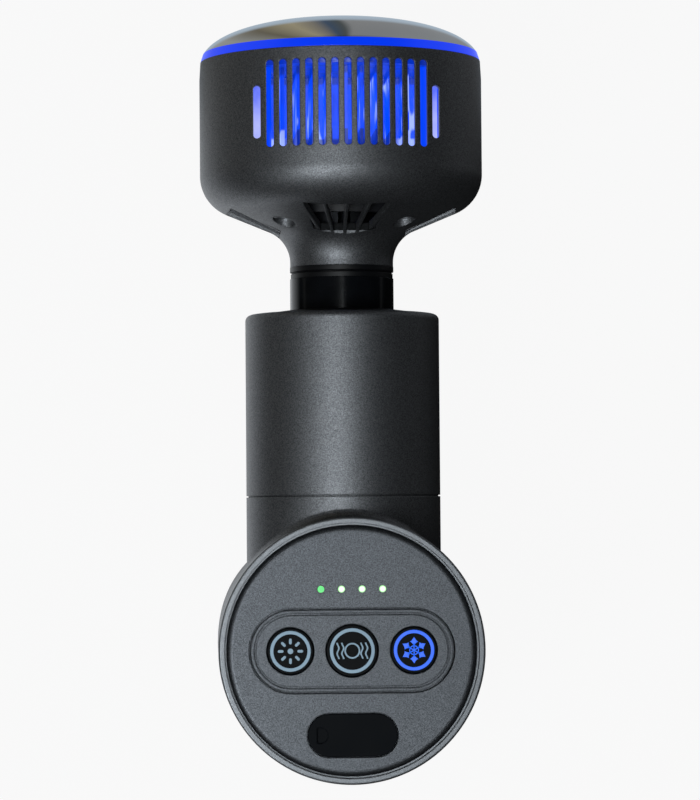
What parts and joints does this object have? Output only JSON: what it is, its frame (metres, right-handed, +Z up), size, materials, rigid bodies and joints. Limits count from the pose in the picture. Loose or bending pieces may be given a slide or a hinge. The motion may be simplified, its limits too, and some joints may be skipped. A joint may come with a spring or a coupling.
{
  "type": "percussion massager",
  "caption": "L-shaped hand-held percussion massager: round button face on an upright handle, short barrel, sliding shaft and a vented head with a chromed hot and cold plate.",
  "frame": {"origin": "centre of the flat base of the handle", "axes": "+Z up the handle to the control face, +Y along the barrel to the contact plate, +X to the right of a user who faces the buttons with the head away from them"},
  "size_m": [0.0554, 0.1482, 0.132],
  "materials": {
    "shell_paint": "matt gunmetal paint with a fine metallic sparkle on an aluminium tube",
    "head_paint": "matt gunmetal paint with a fine metallic sparkle on a moulding",
    "bezel_paint": "satin gunmetal paint",
    "face_paint": "matt gunmetal paint with a fine metallic sparkle",
    "dark_plastic": "matt moulded",
    "black_plastic": "fine matt",
    "gloss_black": "polished",
    "lead_jacket": "insulation, fine matt",
    "black_rubber": "matt",
    "button_black": "satin",
    "ring_grey": "frosted light guide, unlit",
    "glow_blue": "frosted light guide, lit blue",
    "lens_clear": "clear light pipe",
    "board_green": "solder resist",
    "cell_wrap": "shrink sleeve on a steel can, with aluminium's density standing for the filled cell",
    "bush_plastic": "natural",
    "screw_steel": "plated",
    "socket_steel": "drawn",
    "motor_steel": "plated",
    "crank_steel": "ground",
    "rod_aluminium": "machined",
    "sink_aluminium": "extruded",
    "module_ceramic": "white ceramic",
    "plate_chrome": "polished and chromed"
  },
  "bodies": {
    "body": {"handle_shell": "shell_paint", "end_cap": "dark_plastic", "end_cap_screws": "screw_steel", "barrel_sleeve": "shell_paint", "barrel_collar": "black_plastic", "guide_bush": "bush_plastic", "bezel_ring": "bezel_paint", "face_plate": "face_paint", "button_surround": "face_paint", "indicator_lenses": "lens_clear", "control_board": "board_green", "tact_switches": "dark_plastic", "usb_socket": "socket_steel", "battery_cells": "cell_wrap", "battery_holder": "dark_plastic", "motor_can": "motor_steel", "motor_frame": "dark_plastic", "motor_screws": "screw_steel", "power_leads": "lead_jacket"},
    "crank": {"crank": "crank_steel"},
    "piston": {"piston_sleeve": "gloss_black", "wrist_pin": "crank_steel", "seal_ring": "black_rubber", "neck_nut": "rod_aluminium", "head_shell": "head_paint", "head_screws": "screw_steel", "fan_frame": "dark_plastic", "light_board": "board_green", "heat_sink": "sink_aluminium", "insulation_ring": "bush_plastic", "thermo_module": "module_ceramic", "light_ring": "glow_blue", "contact_plate": "plate_chrome"},
    "rod": {"connecting_rod": "rod_aluminium", "big_end_bearing": "crank_steel"},
    "fan": {"fan_rotor": "dark_plastic"},
    "heat_key": {"heat_button": "button_black", "heat_button_ring": "ring_grey"},
    "power_key": {"power_button": "button_black", "power_button_ring": "ring_grey"},
    "cold_key": {"cold_button": "button_black", "cold_button_ring": "glow_blue"},
    "cover": {"port_cover": "black_rubber"}
  },
  "joints": [
    {"name": "crank_spin", "type": "hinge", "parent": "body", "child": "crank", "pos_m": [0, 0, 0.098], "axis": [0, 0, 1], "continuous": true},
    {"name": "piston_slide", "type": "slide", "parent": "body", "child": "piston", "axis": [0, 1, 0], "range_m": [-0.006, 0]},
    {"name": "rod_swing", "type": "hinge", "parent": "piston", "child": "rod", "pos_m": [0, 0.036, 0.1043], "axis": [0, 0, 1], "range_deg": [-5.2, 5.2]},
    {"name": "fan_spin", "type": "hinge", "parent": "piston", "child": "fan", "pos_m": [0, 0.092, 0.1043], "axis": [0, 1, 0], "continuous": true},
    {"name": "heat_press", "type": "slide", "parent": "body", "child": "heat_key", "axis": [0, 0, 1], "range_m": [-0.0006, 0], "stiffness_N_per_m": 900, "springref_m": 0.0004},
    {"name": "power_press", "type": "slide", "parent": "body", "child": "power_key", "axis": [0, 0, 1], "range_m": [-0.0006, 0], "stiffness_N_per_m": 900, "springref_m": 0.0004},
    {"name": "cold_press", "type": "slide", "parent": "body", "child": "cold_key", "axis": [0, 0, 1], "range_m": [-0.0006, 0], "stiffness_N_per_m": 900, "springref_m": 0.0004},
    {"name": "cover_flip", "type": "hinge", "parent": "body", "child": "cover", "pos_m": [0.00845, -0.0159, 0.1315], "axis": [0, 1, 0], "range_deg": [0, 100]}
  ]
}
